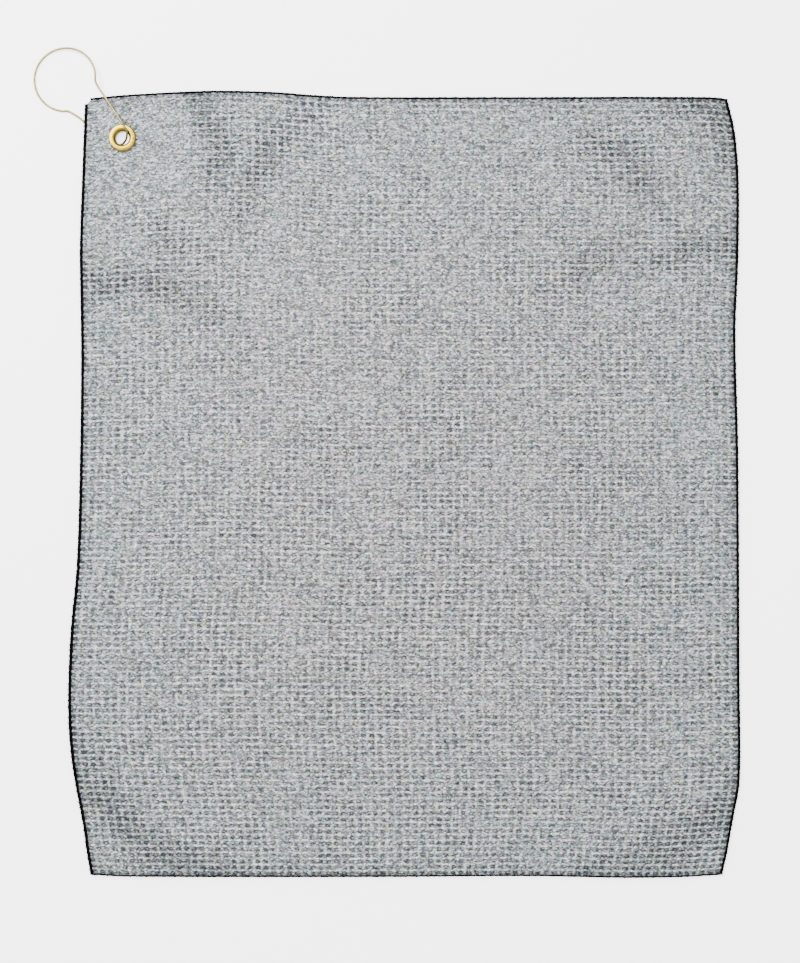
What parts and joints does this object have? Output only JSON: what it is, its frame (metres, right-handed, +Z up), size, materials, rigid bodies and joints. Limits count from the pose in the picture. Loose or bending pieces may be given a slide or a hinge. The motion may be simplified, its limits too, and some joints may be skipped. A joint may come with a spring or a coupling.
{
  "type": "golf towel",
  "caption": "Flat waffle-weave hand towel with dark stitched edges, a brass corner grommet and a captive bulb-shaped wire ring hook that swivels in it.",
  "frame": {"origin": "centre of the towel's underside, on the surface it lies on", "axes": "+X to the towel's right seen from above, +Y up the towel's length towards the grommet's side, +Z up out of the face"},
  "size_m": [0.4152, 0.4875, 0.0077],
  "materials": {
    "cloth": "heather grey waffle weave, matt",
    "edge_thread": "near-black overlock thread",
    "grommet_brass": "polished",
    "wire_brass": "bright brass-plated wire"
  },
  "bodies": {
    "towel": {"towel_cloth": "cloth", "edge_left": "edge_thread", "edge_right": "edge_thread", "edge_top": "edge_thread", "edge_bottom": "edge_thread", "grommet": "grommet_brass", "grommet_washer": "grommet_brass"},
    "hook": {"wire_hook": "wire_brass"}
  },
  "joints": [
    {"name": "hook_turn", "type": "hinge", "parent": "towel", "child": "hook", "pos_m": [-0.1656, 0.2038, 0], "axis": [0, 0, 1], "range_deg": [-60, 65]}
  ]
}
